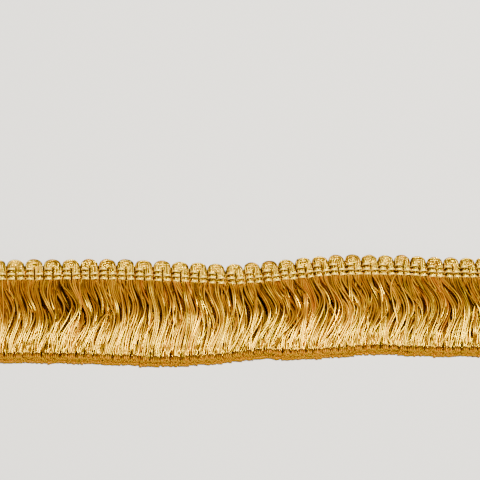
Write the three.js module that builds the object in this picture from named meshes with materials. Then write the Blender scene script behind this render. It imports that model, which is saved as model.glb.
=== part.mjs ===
import * as THREE from "three";

// A cut length of brush fringe lying face up on its flat back.
// X runs along the length, +Y points to the looped heading, the cut ends point to -Y, and Z is up.
// Every scallop of the heading is a hank of yarn bent into an inverted U. Three binder threads
// lie across the legs, the brush hangs from the legs as one comb, and a lock stitch holds its
// cut ends together until the fringe is sewn on.

// ---- Driving dimensions, in millimetres ----

const scallopCount = 33;
const legsPerScallop = 2;

// The loops draw a little closer together towards the right hand end.
const pitches = [
  { scallop: 0, pitch: 5.56 },
  { scallop: 12, pitch: 5.54 },
  { scallop: 18, pitch: 5.3 },
  { scallop: 25, pitch: 5.12 },
  { scallop: 33, pitch: 4.94 },
];

// The band lies in a slight wave: y of the loop tops and of the cut ends along the length.
const edges = [
  { x: -87, loops: 18.0, ends: -19.7 },
  { x: -60, loops: 18.1, ends: -19.7 },
  { x: -38, loops: 18.2, ends: -20.4 },
  { x: -24, loops: 17.6, ends: -21.2 },
  { x: -12, loops: 16.9, ends: -20.6 },
  { x: -4, loops: 16.4, ends: -19.8 },
  { x: 5, loops: 17.0, ends: -18.4 },
  { x: 15, loops: 18.3, ends: -18.8 },
  { x: 28, loops: 19.8, ends: -18.0 },
  { x: 40, loops: 20.1, ends: -16.9 },
  { x: 52, loops: 19.8, ends: -17.5 },
  { x: 62, loops: 19.1, ends: -17.8 },
  { x: 87, loops: 19.1, ends: -17.5 },
];

// How the brush lies: every lock bows sideways by bow, most at the share peak of its way down,
// and ends beside its start by drift.
const lie = [
  { x: -87, bow: 2.3, peak: 0.36, drift: -1.6 },
  { x: -60, bow: 2.4, peak: 0.36, drift: -1.8 },
  { x: -44, bow: 2.9, peak: 0.4, drift: -2.0 },
  { x: -30, bow: 1.2, peak: 0.32, drift: -2.2 },
  { x: -12, bow: 1.0, peak: 0.48, drift: -2.6 },
  { x: 0, bow: 1.0, peak: 0.5, drift: -2.6 },
  { x: 10, bow: 4.2, peak: 0.42, drift: -2.0 },
  { x: 28, bow: 3.8, peak: 0.42, drift: -1.8 },
  { x: 48, bow: 3.0, peak: 0.38, drift: -1.6 },
  { x: 66, bow: 2.7, peak: 0.34, drift: -1.2 },
  { x: 87, bow: 2.5, peak: 0.36, drift: -1.2 },
];

const loopGap = 0.5; // between neighbouring scallops
const slitWidth = 0.5; // between the two legs of a scallop
const slitTop = 4.0; // from the top of a loop down to its slit
const headingHeight = 9.0;
const headingCrown = 2.3; // height of the yarn between the binder threads
const headingWaist = 1.6; // height of the yarn under a binder thread
const headingEnd = 1.3; // height of the yarn where the brush begins
const binderRows = [4.7, 6.6, 8.5]; // from the tops of the loops
const turnToLine = 0.6; // how far the legs turn with the wave of the band

const pieceGap = 0.3;
const threadWidth = 0.45;
const threadHeight = 0.42;
const binderLevel = 2.1; // underside of the binder threads

const notchDepth = 0.75; // between the cut bundles of the brush
const lockFromEnds = 1.5;
const lockLevel = 2.3; // underside of the lock stitch

// The brush from the heading down: t is the share of the way, height that of a lock's crown.
const brushRows = [
  { t: 0, height: 1.8 },
  { t: 0.12, height: 2.4 },
  { t: 0.33, height: 3.0 },
  { t: 0.56, height: 3.4 },
  { t: 0.78, height: 3.3 },
  { t: 0.905, height: 2.9 },
  { t: 0.93, height: 2.0 },
  { t: 0.965, height: 2.0 },
  { t: 1, height: 2.7 },
];
const valleyShare = 0.8; // height between two locks, as a share of the crown's
const unevenness = 0.06; // how far a lock's height strays from its neighbours'

// ---- Tables as smooth curves ----

// A smooth curve through a table's rows, from its column at to its column value.
function curveThrough(rows, at, value) {
  const slope = (i, j) => (rows[j][value] - rows[i][value]) / (rows[j][at] - rows[i][at]);
  const last = rows.length - 1;
  const tangents = rows.map((_, i) => slope(Math.max(i - 1, 0), Math.min(i + 1, last)));
  return (where) => {
    const inside = Math.min(Math.max(where, rows[0][at]), rows[last][at]);
    const next = Math.max(rows.findIndex((row) => row[at] >= inside), 1);
    const from = rows[next - 1];
    const to = rows[next];
    const span = to[at] - from[at];
    const u = (inside - from[at]) / span;
    const rise = to[value] - from[value];
    const bendIn = tangents[next - 1] * span - rise;
    const bendOut = rise - tangents[next] * span;
    return from[value] + u * rise + u * (1 - u) * ((1 - u) * bendIn + u * bendOut);
  };
}

const loopLine = curveThrough(edges, "x", "loops");
const endLine = curveThrough(edges, "x", "ends");
const bowAt = curveThrough(lie, "x", "bow");
const peakAt = curveThrough(lie, "x", "peak");
const driftAt = curveThrough(lie, "x", "drift");
const pitchAt = curveThrough(pitches, "scallop", "pitch");

// x of the boundaries between the scallops, centred on the cut length.
function scallopBoundaries() {
  const places = [0];
  for (let i = 0; i < scallopCount; i++) places.push(places[i] + pitchAt(i + 0.5));
  const middle = places[scallopCount] / 2;
  return places.map((x) => x - middle);
}
const boundaries = scallopBoundaries();

// x at a place counted in scallops from the left hand end.
function xOf(count) {
  const whole = Math.min(Math.floor(count), scallopCount - 1);
  return boundaries[whole] + (count - whole) * (boundaries[whole + 1] - boundaries[whole]);
}

// The local frame of the heading at a place counted in scallops.
function headingFrame(count) {
  const x = xOf(count);
  const step = 1;
  const rise = (loopLine(x + step) - loopLine(x - step)) / (2 * step);
  const turn = turnToLine * Math.atan(rise);
  return { top: new THREE.Vector2(x, loopLine(x)), turn };
}

// A point of the heading: across to the right and below the tops of the loops.
function headingPoint(frame, across, below) {
  return new THREE.Vector2(
    frame.top.x + across * Math.cos(frame.turn) + below * Math.sin(frame.turn),
    frame.top.y + across * Math.sin(frame.turn) - below * Math.cos(frame.turn),
  );
}

// ---- Closed meshes ----

function geometryOf(points, triangles) {
  const geometry = new THREE.BufferGeometry().setFromPoints(points);
  geometry.setIndex(triangles);
  geometry.computeVertexNormals();
  return geometry;
}

// Joins rings of equally many points into a closed body with flat ends. Seen from the first
// ring towards the last, the points run clockwise.
function bodyThroughRings(rings) {
  const size = rings[0].length;
  const triangles = [];
  for (let r = 0; r + 1 < rings.length; r++) {
    for (let k = 0; k < size; k++) {
      const a = r * size + k;
      const b = r * size + ((k + 1) % size);
      triangles.push(a, b, a + size, b, b + size, a + size);
    }
  }
  const lastRing = (rings.length - 1) * size;
  for (let k = 1; k + 1 < size; k++) {
    triangles.push(0, k + 1, k);
    triangles.push(lastRing, lastRing + k, lastRing + k + 1);
  }
  return geometryOf(rings.flat(), triangles);
}

// ---- The pieces ----

// One scallop: a hank of yarn up its right leg, over the top and down its left leg.
function loopGeometry(index) {
  const frame = headingFrame(index + 0.5);
  const outerRadius = (boundaries[index + 1] - boundaries[index] - loopGap) / 2;
  const innerRadius = slitWidth / 2;
  const legRows = [
    { below: headingHeight, height: headingEnd },
    { below: (binderRows[1] + binderRows[2]) / 2, height: headingCrown },
    { below: binderRows[1], height: headingWaist },
    { below: (binderRows[0] + binderRows[1]) / 2, height: headingCrown },
    { below: binderRows[0], height: headingWaist },
  ];
  const stations = legRows.map(({ below, height }) => ({
    outer: [outerRadius, below],
    inner: [innerRadius, below],
    height,
  }));
  const turns = [12, 60, 120, 168];
  for (const degrees of turns) {
    const angle = THREE.MathUtils.degToRad(degrees);
    stations.push({
      outer: [outerRadius * Math.cos(angle), outerRadius * (1 - Math.sin(angle))],
      inner: [innerRadius * Math.cos(angle), slitTop + innerRadius * (1 - Math.sin(angle))],
      height: headingCrown,
    });
  }
  for (const { below, height } of legRows.slice().reverse()) {
    stations.push({ outer: [-outerRadius, below], inner: [-innerRadius, below], height });
  }
  // The yarn's section from the inner to the outer side: flat below, rounded above.
  const section = [
    { share: 0, level: 0 },
    { share: 0, level: 0.62 },
    { share: 0.25, level: 1 },
    { share: 0.75, level: 1 },
    { share: 1, level: 0.62 },
    { share: 1, level: 0 },
  ];
  const rings = stations.map(({ outer, inner, height }) =>
    section.map(({ share, level }) => {
      const across = THREE.MathUtils.lerp(inner[0], outer[0], share);
      const below = THREE.MathUtils.lerp(inner[1], outer[1], share);
      const place = headingPoint(frame, across, below);
      return new THREE.Vector3(place.x, place.y, level * height);
    }),
  );
  return bodyThroughRings(rings);
}

// A flat thread along the fringe through the given places, its underside at level.
function threadGeometry(places, level) {
  const rings = places.map((place) =>
    [
      [-1, 0],
      [1, 0],
      [1, 1],
      [-1, 1],
    ].map(
      ([side, lift]) =>
        new THREE.Vector3(
          place.x,
          place.y + (side * threadWidth) / 2,
          level + lift * threadHeight,
        ),
    ),
  );
  return bodyThroughRings(rings);
}

function binderGeometry(below) {
  const places = [];
  const end = 0.1; // share of a scallop that stays bare at both ends of the band
  for (let i = 0; i <= scallopCount; i++) {
    const count = Math.min(Math.max(i, end), scallopCount - end);
    places.push(headingPoint(headingFrame(count), 0, below));
  }
  return threadGeometry(places, binderLevel);
}

// A point of the brush seen from above: count in scallops, t the share of the way down.
function brushPoint(count, t) {
  const start = headingPoint(headingFrame(count), 0, headingHeight + pieceGap);
  const endX = start.x + driftAt(start.x);
  const end = new THREE.Vector2(endX, endLine(endX));
  const peak = peakAt(start.x);
  const swell =
    t < peak
      ? Math.sin((Math.PI / 2) * (t / peak))
      : (1 + Math.cos((Math.PI * (t - peak)) / (1 - peak))) / 2;
  const place = start.lerp(end, t);
  place.x += bowAt(start.x) * swell;
  return place;
}

// The brush as one comb: a crowned lock for each leg, notched between them at the cut ends.
function brushGeometry() {
  const columns = scallopCount * legsPerScallop * 2;
  const rows = brushRows.length;
  const sideMargin = 0.05; // share of a scallop left free at both ends
  const strayTurn = 1.2; // radians from one column to the next, so no two locks match
  const points = [];
  for (let c = 0; c <= columns; c++) {
    const isValley = c % 2 === 0;
    const count = Math.min(
      Math.max(c / (legsPerScallop * 2), sideMargin),
      scallopCount - sideMargin,
    );
    brushRows.forEach(({ t, height }, r) => {
      const place = brushPoint(count, t);
      const isCutEnd = r === rows - 1;
      if (isCutEnd && isValley) place.y += notchDepth;
      const stray = 1 + unevenness * Math.sin(c * strayTurn + t * Math.PI);
      const level = height * (isValley ? valleyShare : stray);
      points.push(new THREE.Vector3(place.x, place.y, level));
    });
  }
  const at = (c, r) => c * rows + r;
  const triangles = [];
  for (let c = 0; c < columns; c++) {
    for (let r = 0; r + 1 < rows; r++) {
      triangles.push(at(c, r), at(c, r + 1), at(c + 1, r));
      triangles.push(at(c + 1, r), at(c, r + 1), at(c + 1, r + 1));
    }
  }
  // The rim runs round the comb against the clock, seen from above.
  const rim = [];
  for (let r = 0; r < rows - 1; r++) rim.push(at(0, r));
  for (let c = 0; c < columns; c++) rim.push(at(c, rows - 1));
  for (let r = rows - 1; r > 0; r--) rim.push(at(columns, r));
  for (let c = columns; c > 0; c--) rim.push(at(c, 0));
  const firstBase = points.length;
  for (const k of rim) points.push(new THREE.Vector3(points[k].x, points[k].y, 0));
  rim.forEach((k, i) => {
    const next = (i + 1) % rim.length;
    triangles.push(k, firstBase + i, rim[next]);
    triangles.push(rim[next], firstBase + i, firstBase + next);
  });
  const outline = rim.map((k) => new THREE.Vector2(points[k].x, points[k].y));
  for (const [a, b, c] of THREE.ShapeUtils.triangulateShape(outline, [])) {
    triangles.push(firstBase + a, firstBase + c, firstBase + b);
  }
  return geometryOf(points, triangles);
}

function lockGeometry() {
  const places = [];
  const end = 0.15; // share of a scallop that stays bare at both ends of the brush
  for (let i = 0; i <= scallopCount; i++) {
    const count = Math.min(Math.max(i, end), scallopCount - end);
    const place = brushPoint(count, 1);
    place.y += lockFromEnds;
    places.push(place);
  }
  return threadGeometry(places, lockLevel);
}

// ---- Finishes ----

const yarn = { color: 0xc9983f, roughness: 0.45, metalness: 0 };
const brushYarn = { color: 0xb98a36, roughness: 0.45, metalness: 0 };
const binderThread = { color: 0xeddcae, roughness: 0.5, metalness: 0 };
const lockThread = { color: 0xa9772c, roughness: 0.6, metalness: 0 };

function piece(name, geometry, finish) {
  const mesh = new THREE.Mesh(geometry, new THREE.MeshStandardMaterial(finish));
  mesh.name = name;
  return mesh;
}

// ---- The fringe ----

const heading = new THREE.Group();
for (let i = 0; i < scallopCount; i++) {
  const number = String(i + 1).padStart(2, "0");
  heading.add(piece("loop_" + number, loopGeometry(i), yarn));
}
binderRows.forEach((below, i) => {
  heading.add(piece("binder_" + (i + 1), binderGeometry(below), binderThread));
});

const fringe = new THREE.Group();
fringe.add(heading);
fringe.add(piece("brush", brushGeometry(), brushYarn));
fringe.add(piece("lock_stitch", lockGeometry(), lockThread));

// The origin is the middle of the underside.
const box = new THREE.Box3().setFromObject(fringe);
const middle = box.getCenter(new THREE.Vector3());
fringe.position.set(-middle.x, -middle.y, -box.min.z);

export default fringe;
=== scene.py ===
import bpy
import math
import numpy as np
from mathutils import Matrix, Vector


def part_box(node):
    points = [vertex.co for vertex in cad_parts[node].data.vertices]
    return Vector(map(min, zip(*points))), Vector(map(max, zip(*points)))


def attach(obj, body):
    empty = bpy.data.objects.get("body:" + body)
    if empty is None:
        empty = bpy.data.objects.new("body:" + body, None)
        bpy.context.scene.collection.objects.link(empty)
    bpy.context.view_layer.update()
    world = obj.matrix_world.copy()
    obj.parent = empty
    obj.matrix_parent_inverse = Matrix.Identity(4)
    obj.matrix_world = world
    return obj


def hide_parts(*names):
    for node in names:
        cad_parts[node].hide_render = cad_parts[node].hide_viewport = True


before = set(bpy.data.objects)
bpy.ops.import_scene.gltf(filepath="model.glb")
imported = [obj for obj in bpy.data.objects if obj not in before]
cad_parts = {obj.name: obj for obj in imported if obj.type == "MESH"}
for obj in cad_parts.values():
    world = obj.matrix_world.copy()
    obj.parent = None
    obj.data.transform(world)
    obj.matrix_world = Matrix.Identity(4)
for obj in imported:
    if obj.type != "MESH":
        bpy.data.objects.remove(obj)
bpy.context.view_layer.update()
mm = 0.001
chance = np.random.default_rng(38)
print("frame loaded,", len(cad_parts), "nodes")


# camera: angles in degrees, lengths in millimetres; the strip lies below the middle of the view
viewFrom = {
    "azimuth": -10, "elevation": 50.4, "roll": 7.87,
    "aimX": 0.4, "aimY": 26.95, "distance": 760, "lens": 184.5,
}


def makeCamera(s):
    az, el = math.radians(s["azimuth"]), math.radians(s["elevation"])
    back = Vector((math.sin(az) * math.cos(el), -math.cos(az) * math.cos(el), math.sin(el)))
    right = Vector((0, 0, 1)).cross(back).normalized()
    up = back.cross(right)
    turn = math.radians(s["roll"])
    right, up = right * math.cos(turn) + up * math.sin(turn), up * math.cos(turn) - right * math.sin(turn)
    data = bpy.data.cameras.new("camera")
    data.lens = s["lens"]
    data.clip_start, data.clip_end = 0.01, 20
    camera = bpy.data.objects.new("camera", data)
    bpy.context.collection.objects.link(camera)
    place = Matrix((right, up, back)).transposed().to_4x4()
    place.translation = Vector((s["aimX"], s["aimY"], 0)) * mm + back * s["distance"] * mm
    camera.matrix_world = place
    bpy.context.scene.camera = camera


makeCamera(viewFrom)


# how the brush lies: its sideways bow, where down the strands that is most, where the strands
# end, where they lie highest, and how sharply they bend
brushLie = [
    {"x": -89, "bow": 2.5, "peak": 0.48, "drift": -1.2, "crest": 0.50, "bend": 7.5},
    {"x": -68, "bow": 2.8, "peak": 0.49, "drift": -1.0, "crest": 0.50, "bend": 7.5},
    {"x": -54, "bow": 3.3, "peak": 0.50, "drift": -1.6, "crest": 0.50, "bend": 7.5},
    {"x": -46, "bow": 3.1, "peak": 0.46, "drift": -2.8, "crest": 0.50, "bend": 7.5},
    {"x": -39, "bow": 2.8, "peak": 0.47, "drift": -2.6, "crest": 0.46, "bend": 7.0},
    {"x": -30, "bow": 1.6, "peak": 0.43, "drift": -2.6, "crest": 0.40, "bend": 7.5},
    {"x": -18, "bow": 2.0, "peak": 0.50, "drift": -1.6, "crest": 0.30, "bend": 7.0},
    {"x": -8, "bow": 2.1, "peak": 0.57, "drift": -2.4, "crest": 0.29, "bend": 6.5},
    {"x": -3, "bow": 1.9, "peak": 0.50, "drift": -3.1, "crest": 0.31, "bend": 5.5},
    {"x": 4, "bow": 3.6, "peak": 0.45, "drift": -2.2, "crest": 0.40, "bend": 6.0},
    {"x": 11, "bow": 4.3, "peak": 0.47, "drift": -1.8, "crest": 0.46, "bend": 6.0},
    {"x": 18, "bow": 3.7, "peak": 0.49, "drift": -2.6, "crest": 0.48, "bend": 6.0},
    {"x": 26, "bow": 4.0, "peak": 0.50, "drift": -2.8, "crest": 0.48, "bend": 6.0},
    {"x": 40, "bow": 3.3, "peak": 0.49, "drift": -2.9, "crest": 0.46, "bend": 6.5},
    {"x": 54, "bow": 3.7, "peak": 0.47, "drift": -1.8, "crest": 0.45, "bend": 6.0},
    {"x": 68, "bow": 2.5, "peak": 0.46, "drift": -1.1, "crest": 0.44, "bend": 6.5},
    {"x": 89, "bow": 2.4, "peak": 0.46, "drift": -1.2, "crest": 0.46, "bend": 6.0},
]
# the line of the cut ends, above the lowest place of the CAD brush
cutLine = [
    {"x": -89, "rise": 0.6}, {"x": -62, "rise": 0.6}, {"x": -40, "rise": -0.1},
    {"x": -26, "rise": -0.9}, {"x": -14, "rise": -0.3}, {"x": -6, "rise": 0.5},
    {"x": 3, "rise": 1.9}, {"x": 13, "rise": 1.5}, {"x": 26, "rise": 2.3},
    {"x": 38, "rise": 3.4}, {"x": 50, "rise": 2.8}, {"x": 60, "rise": 2.5},
    {"x": 89, "rise": 2.8},
]
# the brush from the heading down: height of its upper face
brushHeight = [
    {"x": 0.00, "height": 1.95}, {"x": 0.08, "height": 2.35}, {"x": 0.20, "height": 2.90},
    {"x": 0.34, "height": 3.45}, {"x": 0.48, "height": 3.75}, {"x": 0.60, "height": 3.70},
    {"x": 0.70, "height": 3.42}, {"x": 0.80, "height": 2.96}, {"x": 0.88, "height": 2.48},
    {"x": 0.920, "height": 2.20}, {"x": 0.945, "height": 2.02}, {"x": 1.00, "height": 2.25},
]
crestShare = 0.48


def smoothTable(rows, column):
    xs = np.array([row["x"] for row in rows], float)
    vs = np.array([row[column] for row in rows], float)
    lower = np.r_[0, np.arange(len(xs) - 1)]
    upper = np.r_[np.arange(1, len(xs)), len(xs) - 1]
    tangents = (vs[upper] - vs[lower]) / (xs[upper] - xs[lower])

    def at(x):
        x = np.clip(x, xs[0], xs[-1])
        i = np.clip(np.searchsorted(xs, x) - 1, 0, len(xs) - 2)
        span, rise = xs[i + 1] - xs[i], vs[i + 1] - vs[i]
        u = (x - xs[i]) / span
        bend = (1 - u) * (tangents[i] * span - rise) + u * (rise - tangents[i + 1] * span)
        return vs[i] + u * rise + u * (1 - u) * bend

    return at


bowAt, peakAt, driftAt, crestAt, bendAt = (
    smoothTable(brushLie, c) for c in ("bow", "peak", "drift", "crest", "bend"))
cutRiseAt = smoothTable(cutLine, "rise")
brushHeightAt = smoothTable(brushHeight, "height")

# every scallop's own frame, from its CAD solid
loopNames = sorted(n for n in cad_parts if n.startswith("loop_"))
loopBoxes = np.array([[list(c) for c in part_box(n)] for n in loopNames]) / mm
loopCount = len(loopNames)
legCount = 2 * loopCount
# a scallop turns by a share of the slope of the tops; the slit between its legs and the binder
# rows lie so far below its top
headingSize = {
    "turnToLine": 0.6, "legsBelowMiddle": 5.75,
    "gap": 0.5, "slit": 0.5, "slitTop": 4.0,
    "binderRows": (4.7, 6.6, 8.5),
}
loopTop = loopBoxes[:, 1, 1]
loopMiddle = loopBoxes[:, :, 0].mean(1)
loopTurn = headingSize["turnToLine"] * np.arctan(np.gradient(loopTop, loopMiddle))
loopX = loopMiddle - headingSize["legsBelowMiddle"] * np.sin(loopTurn)
loopRadius = (np.gradient(loopX) - headingSize["gap"]) / 2
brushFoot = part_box("brush")[0].y / mm


# a place of the heading: across to the right and below the top of loop number i
def headingPlace(i, across, below):
    c, s = np.cos(loopTurn[i]), np.sin(loopTurn[i])
    return loopX[i] + across * c + below * s, loopTop[i] + across * s - below * c


# how far right of its scallop's middle each leg's own middle is
def legMiddleAt(leg):
    return np.where(leg % 2, 1, -1) * (loopRadius[leg // 2] + headingSize["slit"] / 2) / 2


# how fast strands that touch push each other away, and how much of a push is smoothed out
pushing = {"share": 0.35, "smoothing": 0.3}


# x and z hold one strand a row and one station a column; strands give way sideways and in height
def keepApart(x, z, width, slant, hold, rounds, neighbours, floor, ceiling=None, sink=0.0):
    startX, startZ = x.copy(), z.copy()
    columns = np.arange(x.shape[1])[None, :]
    for _ in range(rounds):
        order = np.argsort(x, axis=0)
        sx = np.take_along_axis(x, order, 0)
        sz = np.take_along_axis(z, order, 0)
        sw = np.take_along_axis(width, order, 0)
        sc = np.take_along_axis(slant, order, 0)
        pushX, pushZ = np.zeros_like(sx), np.zeros_like(sz)
        for step in range(1, neighbours + 1):
            dx = sx[step:] - sx[:-step]
            dz = sz[step:] - sz[:-step]
            need = (sw[step:] + sw[:-step]) / 2
            across = dx * (sc[step:] + sc[:-step]) / 2
            apart = np.sqrt(across * across + dz * dz) + 1e-6
            share = np.where(apart < need, (need - apart) / apart * pushing["share"], 0)
            dx *= share
            dz *= share
            pushX[step:] += dx
            pushX[:-step] -= dx
            pushZ[step:] += dz
            pushZ[:-step] -= dz
        for moved, push in ((x, pushX), (z, pushZ)):
            pushed = np.empty_like(push)
            pushed[order, columns] = push
            moved += pushed * hold
        z -= sink * hold
        for moved, start in ((x, startX), (z, startZ)):
            shift = moved - start
            around = (np.roll(shift, 1, 1) + np.roll(shift, -1, 1)) / 2 - shift
            around[:, 0] = around[:, -1] = 0
            moved += pushing["smoothing"] * around * hold
        z = np.maximum(z, floor)
        if ceiling is not None:
            z = np.minimum(z, ceiling)
    return x, z


# how deep each strand lies below the highest one beside it, from 0 to 1; the callers paint shade by it
def coverOf(x, z, beside, deepest, neighbours=18):
    order = np.argsort(x, axis=0)
    columns = np.arange(x.shape[1])[None, :]
    sx, sz = np.take_along_axis(x, order, 0), np.take_along_axis(z, order, 0)
    top = sz.copy()
    for step in range(1, neighbours + 1):
        near = sx[step:] - sx[:-step] < beside
        top[step:] = np.where(near, np.maximum(top[step:], sz[:-step]), top[step:])
        top[:-step] = np.where(near, np.maximum(top[:-step], sz[step:]), top[:-step])
    paintedShade = np.empty_like(x)
    paintedShade[order, columns] = np.clip((top - sz) / deepest, 0, 1)
    return paintedShade


# the brush: lengths in millimetres; shares of the way go from 0 at the heading to 1 at the cut ends
brush = {
    # columns of yarns in each leg, and where they start
    "columns": 4, "stagger": 0.25, "legWidth": 2.3, "start": 8.3,
    # thickness, which is less at the heading and at the lock; the lowest yarns fill their row
    "yarn": 0.58, "headYarn": 0.50, "fullAt": 0.12, "lockYarn": 0.46, "thinsFrom": 0.6,
    "thinPastLock": 0.6, "unevenWidth": 0.05, "unevenTurns": (8, 30),
    "fillWidth": 1.7, "fillOver": 1.1, "fuller": 1.1, "fullerAtLock": 0.2,
    # how the lock stitch draws each leg's yarns together
    "lockDraws": 0.32, "lockAt": 0.945, "lockReach": 0.05, "lockRound": 0.35,
    # how far wisps and single yarns stray from the tables of how the brush lies
    "bowSpread": 0.30, "ownBowSpread": 0.08, "bowLimits": (0.4, 1.55),
    "peakSpread": 0.05, "peakLimits": (0.25, 0.66),
    "crestSpread": 0.09, "crestLimits": (0.15, 0.7), "crestUntil": 0.86,
    "longSwell": 0.05, "swellTurn": 0.21, "swellShift": 1.3,
    "widestWisp": 3, "wispShift": 0.5, "wispWave": 0.42, "gather": 0.85, "leastGather": 0.3,
    "stray": 0.12, "wispLift": 0.2, "ownLift": 0.07, "ownWave": 0.12, "ripple": 0.22, "rippleFades": 1.9,
    # how closely yarns lie against each other
    "snug": 0.92, "pushRounds": 90, "aboveFloor": 0.02,
    # loose yarns on top
    "loose": 0.09, "looseShift": (0.4, 0.7), "looseLean": (0.3, 1.3), "leanFrom": 0.02, "leanOver": 0.5,
    "looseCurl": 0.5, "looseLift": 0.45,
    # cut ends: their line, their flare and how pale they are
    "bevel": 0.7, "bevelFrom": 0.15, "ragged": 0.12, "legRagged": 0.16, "legWave": 1.7,
    "flareFrom": 0.965, "flare": 1.25,
    "paleAt": (0, 0.95, 0.985, 1), "pale": (0, 0, 0.8, 1), "leastPale": 0.0, "mostPale": 0.9,
    # how far tones differ
    "legTone": 0.12, "wispTone": 0.2, "ownTone": 0.14, "looseTone": 0.2,
    # painted shade: by depth, more or less along the way, in the groove at the lock, and in the clefts
    # between bundles
    "shadedAt": (0, 0.15, 0.35, 0.55, 0.7, 0.85), "shading": (0.6, 0.75, 1.05, 1.15, 0.75, 0.3),
    "beside": 0.75, "deepest": 1.0,
    "grooveShade": 0.85, "grooveReach": 0.020, "cleftReach": 0.042, "coreCleft": 3.0, "faceCleft": 2.5,
    "lowCleft": 0.65, "lowCleftFrom": 0.9, "lowCleftOver": 0.03, "lowCleftUntil": 0.98,
    "headCleft": 1.6, "headCleftOver": 0.09,
}


# from the floor up: how freely a layer lies, how far its yarns give way to others, how soon they
# spread below the heading, how much the lock draws them in, and their place in the hank over the top
layerRule = [
    {"free": 0.0, "giving": 0.0, "opened": 0.01, "drawn": 0.0, "across": 0.10},
    {"free": 0.1, "giving": 0.04, "opened": 0.04, "drawn": 0.7, "across": -0.30},
    {"free": 0.6, "giving": 0.6, "opened": 0.15, "drawn": 1.0, "across": 0.35},
    {"free": 1.0, "giving": 1.0, "opened": 0.22, "drawn": 1.0, "across": -0.10},
    {"free": 1.15, "giving": 1.0, "opened": 0.30, "drawn": 1.0, "across": 0.25},
]
topLayer = len(layerRule) - 1
faceFrom = 2      # the lowest layer of the face; those below it are the core
# how far yarns may be pushed, along the way: held at the heading and at the lock
givingWay = [
    {"x": 0, "hold": 0}, {"x": 0.04, "hold": 0.3}, {"x": 0.1, "hold": 1}, {"x": 0.88, "hold": 1},
    {"x": 0.93, "hold": 0.04}, {"x": 0.97, "hold": 0.1}, {"x": 1, "hold": 0.6},
]


def layerColumn(layer, name):
    return np.array([row[name] for row in layerRule])[layer][:, None]


def brushStations():
    return np.r_[np.linspace(0, 0.88, 23), 0.90, 0.922, 0.945, 0.965, 0.983, 1.0]


# wisps: yarns of one layer that lie together
def wispsOf(yarnCount, widest):
    wisp = np.zeros((len(layerRule), yarnCount), int)
    total = 0
    for layer in range(len(layerRule)):
        c = 0
        while c < yarnCount:
            width = chance.integers(1, widest + 1)
            wisp[layer, c:c + width] = total
            total += 1
            c += width
    return wisp, total


def gridOf(count):
    return (a.ravel() for a in np.meshgrid(
        np.arange(count), np.arange(brush["columns"]), np.arange(len(layerRule)), indexing="ij"))


def bowShape(way, peak, bend):
    return (way / peak) ** (bend * peak) * ((1 - way) / (1 - peak)) ** (bend * (1 - peak))


def wave(share, halves=1):
    return np.sin(np.pi * halves * share)


def hump(share, middle, reach):
    return np.exp(-((share - middle) / reach) ** 2)


# places in a row that is filled evenly, from the places of its legs
def evenly(row, ownPlace):
    first, last = 2 * row[0] - row[1], 2 * row[-1] - row[-2]
    return np.interp(ownPlace, np.arange(-1, legCount + 1), np.r_[first, row, last])


# sideways: the core lies evenly, the upper yarns go their own ways in wisps, and the lock
# stitch draws the yarns of each leg into a bundle
def sidewaysOf(s, way, free, layer, start, evenHead, evenEnd, legX, bundleX, own, wispCount, perWisp):
    count = len(layer)
    reach = layerColumn(layer, "free")
    bow = 1 + perWisp(s["bowSpread"]) + chance.normal(0, s["ownBowSpread"], (count, 1)) * reach
    bow = bowAt(evenHead)[:, None] * np.clip(bow, *s["bowLimits"])
    peak = np.clip(peakAt(evenHead)[:, None] + perWisp(s["peakSpread"]), *s["peakLimits"])
    x = start + (evenEnd[:, None] - start) * way + bow * bowShape(way, peak, bendAt(evenHead)[:, None])
    middle = legX[:, None] + (bundleX - legX)[:, None] * way
    drawn = s["lockDraws"] * layerColumn(layer, "drawn") * hump(way, s["lockAt"], s["lockReach"])
    x += (middle - x) * drawn
    x += perWisp(s["wispShift"]) * wave(free) + perWisp(s["wispWave"]) * wave(free, 2)
    wispMiddle = np.zeros((wispCount, way.shape[1]))
    np.add.at(wispMiddle, own, x)
    wispMiddle /= np.bincount(own, minlength=wispCount)[:, None]
    # a wisp gathers most at seven tenths of the way
    gather = chance.uniform(s["leastGather"], 1, wispCount)[own][:, None] * reach * s["gather"]
    x += gather * 2.3 * free * (1 - free) ** 0.4 * (wispMiddle[own] - x)
    for waves in (1, 2, 3):
        x += chance.normal(0, s["stray"] / waves ** 0.5, (count, 1)) * reach * wave(free, waves)
    return x


# heights: the layers share the brush's own height, and wisps ride a little up and down
def heightsOf(s, way, free, layer, spread, legX, perWisp):
    count = len(layer)
    reach = layerColumn(layer, "free")
    crestOf = np.clip(crestAt(legX)[:, None] + perWisp(s["crestSpread"]), *s["crestLimits"])
    crest = way ** (math.log(crestShare) / np.log(crestOf))
    height = np.where(way > s["crestUntil"], brushHeightAt(way), brushHeightAt(crest))
    height *= 1 + s["longSwell"] * wave(free) * np.sin(legX * s["swellTurn"] + s["swellShift"])[:, None]
    rounded = 1 - s["lockRound"] * np.abs(2 * spread)[:, None] ** 2 * hump(way, s["lockAt"], s["lockReach"])
    z = s["yarn"] / 2 + (height - s["yarn"]) * (layer / topLayer)[:, None] * rounded
    z += (perWisp(s["wispLift"]) + chance.normal(0, s["ownLift"], (count, 1)) * reach) * wave(free)
    for waves in (2, 3):
        z += chance.normal(0, s["ownWave"], (count, 1)) * reach * wave(free, waves)
    ripple = wave(free) ** 0.5 * np.clip(s["rippleFades"] * (1 - free), 0, 1) * s["ripple"]
    for waves in (3, 5, 7):
        z += perWisp(3 / waves) * ripple * wave(free, waves)
    return z


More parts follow.
